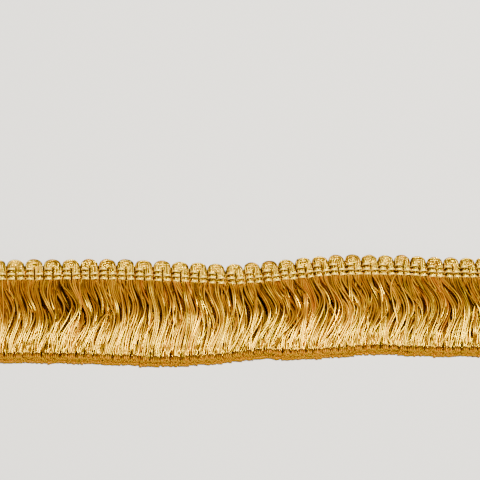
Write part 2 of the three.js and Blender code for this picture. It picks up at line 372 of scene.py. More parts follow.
# thickness of every yarn along its way, and how much its lean narrows it across the strip
def widthsOf(s, x, y, way, layer, ownPlace):
    count = len(layer)
    headWidth = np.where(layer < faceFrom, s["yarn"], s["headYarn"])[:, None]
    width = headWidth + (s["yarn"] - headWidth) * np.clip(way / s["fullAt"], 0, 1)
    thinned = np.clip((way - s["thinsFrom"]) / (s["lockAt"] - s["thinsFrom"]), 0, 1) * (layer > 0)[:, None]
    thinned *= np.where(way > s["lockAt"], s["thinPastLock"], 1)
    width = width - (s["yarn"] - s["lockYarn"]) * thinned
    turns, phase = chance.uniform(*s["unevenTurns"], (count, 1)), chance.uniform(0, 6, (count, 1))
    width = width * (1 + s["unevenWidth"] * np.sin(way * turns + phase))
    lean = np.gradient(x, axis=1) / np.gradient(y, axis=1)
    slant = 1 / np.sqrt(1 + np.clip(lean, -1.2, 1.2) ** 2)
    # the lowest yarns are as wide as their row needs, so no floor shows
    lowest = np.flatnonzero(layer == 0)
    lowest = lowest[np.argsort(ownPlace[lowest])]
    needed = np.gradient(x[lowest], axis=0) * slant[lowest] * s["fillOver"]
    fuller = s["fuller"] + s["fullerAtLock"] * hump(way[lowest], s["lockAt"], s["lockReach"])
    width[lowest] = np.maximum(width[lowest] * fuller, np.minimum(needed, s["fillWidth"] * s["yarn"]))
    return width, slant


# painted shade between the yarns, in the clefts between bundles and in the groove that the lock stitch
# draws; the material darkens the yarn's colour by it
def brushShade(s, x, z, way, layer, spread):
    edge = np.abs(2 * spread)[:, None] ** 3
    inCore = (layer < faceFrom)[:, None]
    cleft = np.clip(edge * np.where(inCore, s["coreCleft"], s["faceCleft"]), 0, 1)
    # painted shade along the lock's groove and at the bundles' edges beside it
    grooveShade = np.maximum(s["grooveShade"] * hump(way, s["lockAt"], s["grooveReach"]),
                        cleft * hump(way, s["lockAt"], s["cleftReach"]))
    nearLock = np.clip((way - s["lowCleftFrom"]) / s["lowCleftOver"], 0, 1) * (way < s["lowCleftUntil"])
    nearHead = np.clip(s["headCleft"] - way / s["headCleftOver"], 0, 1)
    low = inCore * np.minimum(cleft, s["lowCleft"]) * (nearLock + nearHead)
    depth = coverOf(x, z, s["beside"], s["deepest"]) * np.interp(way, s["shadedAt"], s["shading"])
    return np.maximum(depth, np.maximum(grooveShade, low))


def layBrush(s):
    t = brushStations()
    leg, column, layer = gridOf(legCount)
    count = len(leg)
    spread = (column + 0.5 + s["stagger"] * np.where(layer % 2, 1, -1)) / s["columns"] - 0.5
    headX, headY = headingPlace(leg // 2, legMiddleAt(leg) + spread * s["legWidth"], s["start"])
    legX, _ = headingPlace(leg // 2, legMiddleAt(leg), s["start"])
    bundleX = legX + driftAt(legX)
    endY = brushFoot + cutRiseAt(bundleX) + s["bevel"] * (layer / topLayer - s["bevelFrom"])
    endY += chance.normal(0, s["ragged"], count) + s["legRagged"] * np.sin(leg * s["legWave"])
    way = t[None, :] * np.ones((count, 1))
    free = np.clip(way / s["lockAt"], 0, 1)
    y = headY[:, None] + (endY - headY)[:, None] * way

    # below the heading the yarns spread until they fill the row evenly
    rowHead = legX[np.searchsorted(leg, np.arange(legCount))]
    ownPlace = leg + spread
    evenHead, evenEnd = evenly(rowHead, ownPlace), evenly(rowHead + driftAt(rowHead), ownPlace)
    opened = np.clip((way + 0.01) / layerColumn(layer, "opened"), 0, 1)
    opened = opened * opened * (3 - 2 * opened)
    start = headX[:, None] + (evenHead - headX)[:, None] * opened

    wisp, wispCount = wispsOf(legCount * s["columns"], s["widestWisp"])
    own = wisp[layer, leg * s["columns"] + column]

    def perWisp(size):
        return chance.normal(0, size, wispCount)[own][:, None] * layerColumn(layer, "free")

    x = sidewaysOf(s, way, free, layer, start, evenHead, evenEnd, legX, bundleX, own, wispCount, perWisp)
    z = heightsOf(s, way, free, layer, spread, legX, perWisp)

    # a few yarns of the top layer lie loose on the others
    loose = ((layer == topLayer) & (chance.random(count) < s["loose"]))[:, None]
    x += loose * chance.normal(*s["looseShift"], (count, 1)) * wave(free) ** 1.3
    leaning = np.clip((way - s["leanFrom"]) / s["leanOver"], 0, 1) ** 1.4
    x += loose * chance.normal(*s["looseLean"], (count, 1)) * leaning
    x += loose * chance.normal(0, s["looseCurl"], (count, 1)) * wave(free, 2)
    z += loose * s["looseLift"] * wave(free)

    width, slant = widthsOf(s, x, y, way, layer, ownPlace)
    hold = np.interp(t, [row["x"] for row in givingWay], [row["hold"] for row in givingWay])[None, :]
    hold = hold * layerColumn(layer, "giving")
    x, z = keepApart(x, z, width * s["snug"], slant, hold, s["pushRounds"], neighbours=14,
                     floor=width / 2 + s["aboveFloor"])

    tone = 0.5 + chance.normal(0, s["legTone"], legCount)[leg]
    tone += chance.normal(0, s["wispTone"], wispCount)[own]
    tone += chance.normal(0, s["ownTone"], count) + loose[:, 0] * s["looseTone"]
    pale = np.where(layer == 0, 1.0, chance.uniform(s["leastPale"], s["mostPale"], count))[:, None]
    cut = pale * np.interp(t, s["paleAt"], s["pale"])[None, :]
    paintedShade = brushShade(s, x, z, way, layer, spread)
    width = width * np.interp(t, [0, s["flareFrom"], 1], [1, 1, s["flare"]])[None, :]
    z = np.maximum(z, width / 2 + 0.01)
    print("brush laid,", count, "yarns")
    return {"x": x, "y": y, "z": z, "radius": width / 2, "paintedShade": paintedShade, "cut": cut,
            "tone": np.clip(tone, 0, 1), "leg": leg, "layer": layer}


# the looped heading: each hank runs up one leg of its scallop, over the top and down the other
heading = {
    # heights of the hank on its legs, under the binder rows and over the top
    "yarn": 0.50, "floor": 0.34, "crown": 2.25, "bound": 1.85, "boundReach": 0.42,
    "dome": 2.3, "domeDepth": 1.35,
    # how its yarns lie
    "twist": 0.5, "twistRange": (-0.4, 1.0), "bulge": 0.08, "leastShare": 0.05, "footOver": 1.6,
    "strayAcross": 0.05, "strayAlong": 0.03,
    # how round it is across
    "outerRound": 0.42, "innerRound": 0.38, "outerDrop": 0.85, "innerDrop": 0.30, "innerDomeDrop": 0.1,
    # how the yarns settle against each other
    "passes": 4, "pushRounds": 18, "overCrown": 0.08, "sink": 0.008,
    # painted shade: by depth, beside the gaps, under the rows and on the legs between them
    "beside": 0.65, "deepest": 1.0, "gapShade": 1.0, "outerReach": 0.12, "innerReach": 0.10,
    "gapFrom": 0.15, "gapOver": 0.5, "rowShade": 0.62, "rowShadeBelow": 0.5, "rowShadeReach": 0.22,
    "legShade": 0.42, "legShadeFrom": 4.2, "legShadeOver": 0.5,
    "loopTone": 0.12, "ownTone": 0.2,
}


# places along a hank, up its right leg, over the top and down the left one: how far below the
# scallop's top on the legs (nan on the arc), and the angle round the arc
def headingStations():
    lower = np.array([8.55, 8.2, 7.85, 7.55, 7.2, 6.9, 6.6, 6.25, 5.9, 5.55, 5.2, 4.9, 4.6, 4.25])
    turn = np.radians(np.linspace(0, 180, 13))
    below = np.r_[lower, np.full(len(turn), np.nan), lower[::-1]]
    angle = np.r_[np.zeros(len(lower)), turn, np.full(len(lower), math.pi)]
    return below, angle


# height of the hank's upper face along its middle: lower under every binder row, except where the
# first row passes under the right leg
def hankTop(s, below, angle, sin):
    onArc, right = np.isnan(below), angle < math.pi / 2
    top = np.where(onArc, s["crown"] + (s["dome"] - s["crown"]) * sin, s["crown"])
    for row, place in enumerate(headingSize["binderRows"]):
        skipped = onArc | ((row == 0) & right)
        squeezed = np.where(skipped, 0, hump(below, place, s["boundReach"]))
        top = top - (s["crown"] - s["bound"]) * squeezed
    return top


# how far the lowest yarns reach past the hank, into the gap outside and the slit inside
def footReach(s, loop, level, below, angle, sin):
    onArc, right = np.isnan(below), angle < math.pi / 2
    legAt = loopX[:, None] + np.where(onArc, 0, below)[None, :] * np.sin(loopTurn)[:, None]
    apart = np.diff(legAt, axis=0) - (loopRadius[1:] + loopRadius[:-1])[:, None]
    atEnd = np.zeros((1, len(below)))
    gap = np.where(right, np.r_[apart, atEnd][loop], np.r_[atEnd, apart][loop]).clip(0)
    reach = s["footOver"] * (1 - level) ** 2 * (1 - sin)
    return reach * gap / 2, reach * headingSize["slit"] / 2


# painted shade beside the gaps, under the lower edge of every binding row and between the rows
def headingShade(s, x, z, share, top, below, sin):
    lowBy = np.where(np.isnan(below), -9, below)      # the arc is far from every row
    outside = hump(share.clip(0), 0, s["outerReach"])
    inside = hump((1 - share).clip(0), 0, s["innerReach"]) * (1 - sin)
    beside = np.maximum(outside, inside) * np.clip((top - s["gapFrom"] - z) / s["gapOver"], 0, 1)
    under = np.max([hump(lowBy, place + s["rowShadeBelow"], s["rowShadeReach"])
                    for place in headingSize["binderRows"]], axis=0)
    legs = np.clip((lowBy - s["legShadeFrom"]) / s["legShadeOver"], 0, 1) * s["legShade"]
    paintedShade = np.maximum(coverOf(x, z, s["beside"], s["deepest"]), beside * s["gapShade"])
    return np.maximum(paintedShade, np.maximum(under * s["rowShade"], legs)[None, :])


def layHeading(s):
    below, angle = headingStations()
    onArc = np.isnan(below)
    loop, column, layer = gridOf(loopCount)
    count = len(loop)
    radius = loopRadius[loop][:, None]
    slit = headingSize["slit"] / 2
    cos, sin = np.cos(angle)[None, :], np.where(onArc, np.sin(angle), 0)[None, :]
    outerAcross, innerAcross = radius * cos, slit * cos
    outerBelow = np.where(onArc, radius * (1 - sin), below)
    innerBelow = np.where(onArc, headingSize["slitTop"] + slit * (1 - sin), below)
    section = np.hypot(outerAcross - innerAcross, outerBelow - innerBelow)

    # share 0 is the outer side of the hank, 1 the inner side; over the top the hank spreads
    # flatter, so its layers there lie beside each other
    offset = brush["stagger"] * np.where(layer % 2, 1, -1)[:, None] * (1 - sin)
    offset = offset + layerColumn(layer, "across") * sin
    share = 1 - (column[:, None] + 0.5 + offset) / brush["columns"]
    share = np.clip(share, s["leastShare"], 1 - s["leastShare"])
    level = (layer / topLayer)[:, None]
    top = hankTop(s, below, angle, sin)
    depth = (top - s["floor"]) * (1 - sin) + s["domeDepth"] * sin

    turn = chance.uniform(*s["twistRange"], loopCount)[loop][:, None] * s["twist"] * sin ** 2
    outerFoot, innerFoot = footReach(s, loop, level, below, angle, sin)
    u = (share - 0.5) * (section + outerFoot + innerFoot) + (innerFoot - outerFoot) / 2
    v = (level - 0.5) * (depth - s["yarn"])
    u, v = u * np.cos(turn) - v * np.sin(turn), u * np.sin(turn) + v * np.cos(turn)
    u = u + chance.normal(0, s["strayAcross"], (count, 1)) + chance.normal(0, s["strayAlong"], u.shape)
    v = v + chance.normal(0, s["strayAcross"], (count, 1)) * sin
    distance = u + section / 2

    # the hank is rounded across, most at its outer side
    def crownAt(distance):
        edge = distance / section
        outer = np.clip((s["outerRound"] - edge) / s["outerRound"], 0, 1) ** 2
        inner = np.clip((edge - 1 + s["innerRound"]) / s["innerRound"], 0, 1) ** 2
        drop = s["outerDrop"] * outer + (s["innerDrop"] + s["innerDomeDrop"] * sin) * inner
        return top - (top - s["floor"] - s["yarn"]) * drop

    lowest = s["floor"] + s["yarn"] / 2
    z = np.maximum(crownAt(distance) - depth / 2 + v, lowest)
    far = loop[:, None] * 100.0      # keeps the hanks apart while all share one sort
    width = np.full(z.shape, s["yarn"])
    hold = np.r_[0, np.ones(len(below) - 2), 0][None, :]
    x = distance + far
    for _ in range(s["passes"]):
        ceiling = crownAt(np.clip(x - far, 0, section)) - s["yarn"] / 2 + s["overCrown"]
        x, z = keepApart(x, z, width, np.ones_like(z), hold, s["pushRounds"], neighbours=14,
                         floor=lowest, ceiling=ceiling, sink=s["sink"])
    edge = s["yarn"] / 2 - s["bulge"]
    share = np.clip(x - far, edge - outerFoot, section - edge + innerFoot) / section
    across = outerAcross + (innerAcross - outerAcross) * share
    low = outerBelow + (innerBelow - outerBelow) * share
    px, py = headingPlace(loop[:, None], across, low)
    tone = 0.5 + chance.normal(0, s["loopTone"], loopCount)[loop] + chance.normal(0, s["ownTone"], count)
    paintedShade = headingShade(s, x, z, share, top, below, sin)
    print("heading laid,", count, "yarns over the top")
    return {"x": px, "y": py, "z": z, "radius": width / 2, "paintedShade": paintedShade, "cut": 0 * z,
            "tone": np.clip(tone, 0, 1), "leg": 2 * loop, "layer": layer}


# the stitches: how a thread crosses a leg, from gap to gap, with its heights at shares of the
# half width
binder = {
    "thread": 0.33, "top": 2.2, "shoulder": 2.14, "side": 1.9, "dip": 0.5, "passesUnder": 1.1,
    "halfWidth": 1.22, "crossing": (-1.0, -0.8, -0.45, 0.0, 0.45, 0.8, 1.0),
    "apart": 0.155, "opened": (0.35, 0.9, 1.0, 1.0, 1.0, 0.9, 0.35),
    "leftTilt": -0.02, "rightTilt": 0.12, "tiltSpread": 0.03, "placeSpread": 0.05, "heightSpread": 0.03,
}
lock = {
    "thread": 0.30, "top": 2.12, "side": 1.57, "dip": 0.75,
    "halfWidth": 1.2, "crossing": (-1.0, -0.75, -0.3, 0.3, 0.75, 1.0),
}


# one row of chain stitch: two threads side by side over every leg, drawn together in the gaps
def layBinderRow(row, s):
    place = headingSize["binderRows"][row]
    local = np.array(s["crossing"])
    height = np.array([s[name] for name in ("dip", "side", "shoulder", "top", "shoulder", "side", "dip")])
    apart = np.array(s["opened"]) * s["apart"]
    leg = np.arange(legCount)
    isRight = (leg % 2 == 1)[:, None]
    across = legMiddleAt(leg)[:, None] + local[None, :] * s["halfWidth"]
    perLeg = (legCount, 1)
    tilt = np.where(isRight, s["rightTilt"], s["leftTilt"]) + chance.normal(0, s["tiltSpread"], perLeg)
    below = place + chance.normal(0, s["placeSpread"], perLeg) - tilt * local[None, :] * s["halfWidth"]
    z = height[None, :] + chance.normal(0, s["heightSpread"], perLeg)
    if row == 0:      # the right leg's yarns lie over the first row
        z = np.where(isRight, np.minimum(z, s["passesUnder"]), z)
    # how far the thread sinks into the gap between legs; it goes on as painted shade there
    dipped = np.clip((s["side"] - z) / (s["side"] - s["dip"]), 0, 1)
    threads = []
    for sign in (1, -1):
        x, y = headingPlace((leg // 2)[:, None], across, below + sign * apart[None, :])
        threads.append((x.ravel(), y.ravel(), z.ravel(), dipped.ravel()))
    return threads


def layLock(s):
    leg = np.arange(legCount)
    local = np.array(s["crossing"])
    height = np.array([s[name] for name in ("dip", "side", "top", "top", "side", "dip")])
    legX, legY = headingPlace(leg // 2, legMiddleAt(leg), brush["start"])
    bundleX = legX + driftAt(legX)
    footY = brushFoot + cutRiseAt(bundleX) + brush["bevel"] * (1 - brush["bevelFrom"])
    y = footY + (legY - footY) * (1 - brush["lockAt"])
    x = bundleX + (legX - bundleX) * (1 - brush["lockAt"])
    x = x[:, None] + local[None, :] * s["halfWidth"]
    return x.ravel(), (y[:, None] + 0 * x).ravel(), (height[None, :] + 0 * x).ravel(), 0 * x.ravel()


# adds a node; an input that is a socket is linked, any other is set
def addNode(tree, kind, inputs=None, **settings):
    node = tree.nodes.new(kind)
    for key, value in settings.items():
        setattr(node, key, value)
    for socket, value in (inputs or {}).items():
        if isinstance(value, bpy.types.NodeSocket):
            tree.links.new(value, node.inputs[socket])
        else:
            node.inputs[socket].default_value = value
    return node


def maths(tree, operation, *values):
    return addNode(tree, "ShaderNodeMath", dict(enumerate(values)), operation=operation).outputs[0]


def mapRange(tree, value, fromRange, toRange, kind="LINEAR"):
    inputs = {"Value": value, "From Min": fromRange[0], "From Max": fromRange[1],
              "To Min": toRange[0], "To Max": toRange[1]}
    return addNode(tree, "ShaderNodeMapRange", inputs, interpolation_type=kind).outputs[0]


def storedValue(tree, name, socket="Fac"):
    return addNode(tree, "ShaderNodeAttribute", attribute_name=name).outputs[socket]


# Geometry Nodes that sweep a ring along every guide line, as thick as the line says
def sweepTree():
    tree = bpy.data.node_groups.new("sweepYarn", "GeometryNodeTree")
    interface = tree.interface
    interface.new_socket("Geometry", in_out="INPUT", socket_type="NodeSocketGeometry")
    sides = interface.new_socket("Sides", in_out="INPUT", socket_type="NodeSocketInt")
    finish = interface.new_socket("Finish", in_out="INPUT", socket_type="NodeSocketMaterial")
    interface.new_socket("Geometry", in_out="OUTPUT", socket_type="NodeSocketGeometry")
    start, end = tree.nodes.new("NodeGroupInput"), tree.nodes.new("NodeGroupOutput")
    curve = addNode(tree, "GeometryNodeMeshToCurve", {0: start.outputs["Geometry"]})
    onward = addNode(tree, "GeometryNodeSplineParameter")
    marked = addNode(tree, "GeometryNodeStoreNamedAttribute",
                     {"Geometry": curve.outputs[0], "Name": "along", "Value": onward.outputs["Length"]},
                     data_type="FLOAT", domain="POINT")
    radius = addNode(tree, "GeometryNodeInputNamedAttribute", {"Name": "yarnRadius"}, data_type="FLOAT")
    circle = addNode(tree, "GeometryNodeCurvePrimitiveCircle",
                     {"Resolution": start.outputs["Sides"], "Radius": 1.0})
    place = addNode(tree, "GeometryNodeInputPosition")
    ring = addNode(tree, "GeometryNodeStoreNamedAttribute",
                   {"Geometry": circle.outputs["Curve"], "Name": "ring", "Value": place.outputs[0]},
                   data_type="FLOAT_VECTOR", domain="POINT")
    tube = addNode(tree, "GeometryNodeCurveToMesh",
                   {"Curve": marked.outputs[0], "Profile Curve": ring.outputs[0],
                    "Scale": radius.outputs["Attribute"], "Fill Caps": True})
    # how far the surface faces up; the material paints shade on the yarns' sides by it
    up = addNode(tree, "ShaderNodeSeparateXYZ", {0: addNode(tree, "GeometryNodeInputNormal").outputs[0]})
    faced = addNode(tree, "GeometryNodeStoreNamedAttribute",
                    {"Geometry": tube.outputs[0], "Name": "upward", "Value": up.outputs["Z"]},
                    data_type="FLOAT", domain="POINT")
    smooth = addNode(tree, "GeometryNodeSetShadeSmooth", {"Geometry": faced.outputs[0]})
    real = addNode(tree, "GeometryNodeRealizeInstances", {"Geometry": smooth.outputs[0]})
    coated = addNode(tree, "GeometryNodeSetMaterial",
                     {"Geometry": real.outputs[0], "Material": start.outputs["Finish"]})
    tree.links.new(coated.outputs[0], end.inputs[0])
    return tree, {"sides": sides.identifier, "finish": finish.identifier}


sweepYarn, sweepInputs = sweepTree()


# guide lines as loose edges; every point carries its radius, tone, how near a cut end it is and how much
# shade is painted on it
def guideMesh(name, x, y, z, radius, tone, cut, paintedShade):
    count, stations = x.shape
    points = np.stack([x, y, z], -1).reshape(-1, 3) * mm
    first = np.arange(count * stations).reshape(count, stations)
    edges = np.stack([first[:, :-1].ravel(), first[:, 1:].ravel()], -1)
    mesh = bpy.data.meshes.new(name)
    mesh.vertices.add(len(points))
    mesh.vertices.foreach_set("co", points.astype(np.float32).ravel())
    mesh.edges.add(len(edges))
    mesh.edges.foreach_set("vertices", edges.astype(np.int32).ravel())
    carried = {"yarnRadius": radius * mm, "yarnTone": tone, "cutEnd": cut, "paintedShade": paintedShade}
    for label, values in carried.items():
        layer = mesh.attributes.new(label, "FLOAT", "POINT")
        layer.data.foreach_set("value", np.broadcast_to(values, x.shape).astype(np.float32).ravel())
    mesh.update()
    return mesh


# a flat map of the piece: every yarn is cut into strips of a few faces long, one below the other,
# with the two cut ends beside them; sizes are shares of a strip's room
flatMap = {
    "facesAlong": 14, "body": 0.86, "edge": 0.07, "between": 0.02,
    "endTall": 0.38, "endWide": 0.46, "rowsToPlaces": 5,
}


def layFlat(mesh, yarns, sides, s):
    vertex = np.empty(len(mesh.loops), np.int32)
    mesh.loops.foreach_get("vertex_index", vertex)
    corners = np.empty(len(mesh.polygons), np.int32)
    mesh.polygons.foreach_get("loop_total", corners)
    starts = np.cumsum(corners) - corners
    face = np.repeat(np.arange(len(corners)), corners)
    perYarn = len(mesh.vertices) // yarns
    yarn = vertex // perYarn
    ring, side = np.divmod(vertex % perYarn, sides)
    rings = perYarn // sides
    firstRing = np.minimum.reduceat(ring, starts)[face]
    strips = -(-(rings - 1) // s["facesAlong"])
    strip = np.minimum(firstRing, rings - 2) // s["facesAlong"]
    # round the yarn, the last face runs on past the first corner
    wraps = np.maximum.reduceat(side, starts)[face] - np.minimum.reduceat(side, starts)[face] == sides - 1
    across = (side + sides * (wraps & (side == 0))) / sides
    onward = (ring - strip * s["facesAlong"]) / s["facesAlong"] * s["body"]
    # the cut ends, small and round
    isEnd = (corners != 4)[face]
    angle = 2 * math.pi * side / sides
    endSize = (1 - s["body"]) / 2
    endAt = s["body"] + endSize * (0.5 + (firstRing > 0))
    onward = np.where(isEnd, endAt + s["endTall"] * endSize * np.cos(angle), onward)
    across = np.where(isEnd, 0.5 + s["endWide"] * np.sin(angle), across)
    total = yarns * strips
    perRow = max(1, round(math.sqrt(total / s["rowsToPlaces"])))
    rows = -(-total // perRow)
    row, place = np.divmod(yarn * strips + strip, perRow)
    u = (place + s["between"] + (1 - 2 * s["between"]) * onward) / perRow
    v = (row + s["edge"] + (1 - 2 * s["edge"]) * across) / rows
    layer = mesh.uv_layers.new(name="OFBake")
    layer.uv.foreach_set("vector", np.stack([u, v], -1).astype(np.float32).ravel())


def sweep(name, guide, yarns, sides, material):
    guideObject = bpy.data.objects.new(name + "Guide", guide)
    bpy.context.collection.objects.link(guideObject)
    modifier = guideObject.modifiers.new("sweep", "NODES")
    modifier.node_group = sweepYarn
    modifier[sweepInputs["sides"]] = sides
    modifier[sweepInputs["finish"]] = material
    view = bpy.context.evaluated_depsgraph_get()
    mesh = bpy.data.meshes.new_from_object(guideObject.evaluated_get(view), depsgraph=view)
    mesh.name = name
    layFlat(mesh, yarns, sides, flatMap)
    bpy.data.objects.remove(guideObject)
    made = bpy.data.objects.new(name, mesh)
    bpy.context.collection.objects.link(made)
    return made


# plied yarn: a ridge that winds round it, and fine fibres along it; the tone shifts both, so
# that no two yarns match
ply = {"ridgeShift": 40.0, "fibreShift": 90.0, "fibreLength": 12.0, "fibresRound": 5.0}


def plyGroup(s):
    tree = bpy.data.node_groups.new("plyTwist", "ShaderNodeTree")
    interface = tree.interface
    for label, value in (("Plies", 2.0), ("Turn Length", 0.0016), ("Radius", 0.00023)):
        socket = interface.new_socket(label, in_out="INPUT", socket_type="NodeSocketFloat")
        socket.default_value = value
    interface.new_socket("Ridge", in_out="OUTPUT", socket_type="NodeSocketFloat")
    interface.new_socket("Fibre", in_out="OUTPUT", socket_type="NodeSocketFloat")
    start, end = tree.nodes.new("NodeGroupInput"), tree.nodes.new("NodeGroupOutput")
    along, tone = storedValue(tree, "along"), storedValue(tree, "yarnTone")
    parts = addNode(tree, "ShaderNodeSeparateXYZ", {0: storedValue(tree, "ring", "Vector")})
    angle = maths(tree, "ARCTAN2", parts.outputs["Y"], parts.outputs["X"])
    turned = maths(tree, "MULTIPLY", maths(tree, "DIVIDE", along, start.outputs["Turn Length"]), 2 * math.pi)
    spin = maths(tree, "ADD", angle, turned)
    phase = maths(tree, "ADD", spin, maths(tree, "MULTIPLY", tone, s["ridgeShift"]))
    half = maths(tree, "MULTIPLY", maths(tree, "MULTIPLY", phase, start.outputs["Plies"]), 0.5)
    ridge = maths(tree, "ABSOLUTE", maths(tree, "COSINE", half))
    tree.links.new(ridge, end.inputs["Ridge"])
    # fibres: noise stretched along the yarn and turned with its plies
    fibre = maths(tree, "MULTIPLY", start.outputs["Radius"], s["fibreLength"])
    scaled = maths(tree, "DIVIDE", along, fibre)
    spot = addNode(tree, "ShaderNodeCombineXYZ",
                   {0: maths(tree, "MULTIPLY", maths(tree, "COSINE", spin), s["fibresRound"]),
                    1: maths(tree, "MULTIPLY", maths(tree, "SINE", spin), s["fibresRound"]), 2: scaled})
    noise = addNode(tree, "ShaderNodeTexNoise",
                    {"Vector": spot.outputs[0], "W": maths(tree, "MULTIPLY", tone, s["fibreShift"]),
                     "Scale": 1.0, "Detail": 2.0, "Roughness": 0.6}, noise_dimensions="4D")
    tree.links.new(noise.outputs["Fac"], end.inputs["Fibre"])
    return tree


plyTwist = plyGroup(ply)
yarnFinish = {
    # colours from yarn to yarn, and of the cut ends
    "tones": [(0.0, (0.22, 0.064, 0.006)), (0.25, (0.56, 0.230, 0.010)), (0.5, (0.37, 0.090, 0.006)),
              (0.75, (0.74, 0.315, 0.010)), (1.0, (0.66, 0.185, 0.012))],
    "cutColour": (0.66, 0.18, 0.010), "cutMetal": 0.55, "cutRough": 0.8,
    # shine: how rough yarns are, and how strong and yellow their highlights
    "roughLow": 0.24, "roughHigh": 0.38, "specular": 1.0, "index": 3.1,
    "metal": 0.34, "shadeMetal": 0.85, "shine": (1.0, 0.80, 0.01),
    # painted shade: how much light is left between yarns and deep under them, and the colour painted there
    "crevice": 0.18, "deep": 0.28, "shadow": (0.30, 0.085, 0.03),
    # patches along a yarn, its fibres and the ply's ridge; the ridge is a bump and also painted shade and
    # highlight in the colour
    "patchScale": 160.0, "patchShift": 0.5, "fibreShade": 0.7, "ridgeShade": 0.2,
    "ridgeHeight": 0.000012, "plies": 2, "turnLength": 0.0026,
}
# painted light: the heading is the brush's own yarn; these lighter tones are a lit copy of it, painted for
# the light the heading catches
headingLitFinish = {
    **yarnFinish,
    "tones": [(0.0, (0.50, 0.18, 0.010)), (0.25, (1.0, 0.50, 0.020)), (0.5, (0.72, 0.25, 0.012)),
              (0.75, (1.0, 0.58, 0.03)), (1.0, (1.0, 0.42, 0.03))],
    "roughLow": 0.18, "roughHigh": 0.34, "index": 4.0, "shine": (1.0, 0.86, 0.04), "metal": 0.48,
    "crevice": 0.38, "deep": 0.04, "shadow": (0.20, 0.07, 0.03),
    "fibreShade": 0.6, "ridgeShade": 1.25, "ridgeHeight": 0.00005, "turnLength": 0.0012,
}
binderFinish = {
    **yarnFinish,
    "tones": [(0.0, (1.0, 0.66, 0.12)), (1.0, (1.0, 0.72, 0.16))],
    "roughLow": 0.25, "roughHigh": 0.35, "index": 2.7,
    "metal": 0.0, "shadeMetal": 1.0, "shine": (1.0, 0.82, 0.08),
    "crevice": 0.6, "deep": 0.0, "shadow": (0.16, 0.06, 0.02),
    "patchShift": 0.3, "fibreShade": 0.4, "ridgeHeight": 0.00001, "turnLength": 0.0010,
}
lockFinish = {
    **yarnFinish,
    "tones": [(0.0, (0.16, 0.06, 0.01)), (1.0, (0.20, 0.08, 0.015))],
    "roughLow": 0.45, "roughHigh": 0.5, "specular": 0.4, "index": 1.5,
    "metal": 0.0, "shadeMetal": 0.0, "shine": (1.0, 0.9, 0.7),
    "crevice": 0.2, "deep": 1.0, "shadow": (0.3, 0.2, 0.1),
    "patchShift": 0.3, "fibreShade": 0.8, "ridgeShade": 0.4, "ridgeHeight": 0.00004, "turnLength": 0.0010,
}


# each yarn's own tone, shifted a little in patches along it
def toneColour(tree, tone, s):
    place = addNode(tree, "ShaderNodeTexCoord").outputs["Object"]
    patch = addNode(tree, "ShaderNodeTexNoise", {"Vector": place, "Scale": s["patchScale"], "Detail": 1.0})
    shift = maths(tree, "MULTIPLY", maths(tree, "SUBTRACT", patch.outputs["Fac"], 0.5), s["patchShift"])
    ramp = addNode(tree, "ShaderNodeValToRGB", {"Fac": maths(tree, "ADD", tone, shift)})
    while len(ramp.color_ramp.elements) < len(s["tones"]):
        ramp.color_ramp.elements.new(0.5)
    for element, (position, colour) in zip(ramp.color_ramp.elements, s["tones"]):
        element.position = position
        element.color = (*colour, 1)
    return ramp.outputs["Color"]


# painted light, from 0 to 1: shade is painted where a yarn's side lies against the next and where it lies
# deep
def paintedLightOf(tree, s):
    crest = mapRange(tree, storedValue(tree, "upward"), (0.3, 0.96), (s["crevice"], 1.0), "SMOOTHSTEP")
    deep = mapRange(tree, storedValue(tree, "paintedShade"), (0.1, 0.8), (1.0, s["deep"]), "SMOOTHSTEP")
    return maths(tree, "MULTIPLY", crest, deep)


def mixColour(tree, factor, low, high):
    return addNode(tree, "ShaderNodeMix", {"Factor": factor, 6: low, 7: high}, data_type="RGBA").outputs[2]


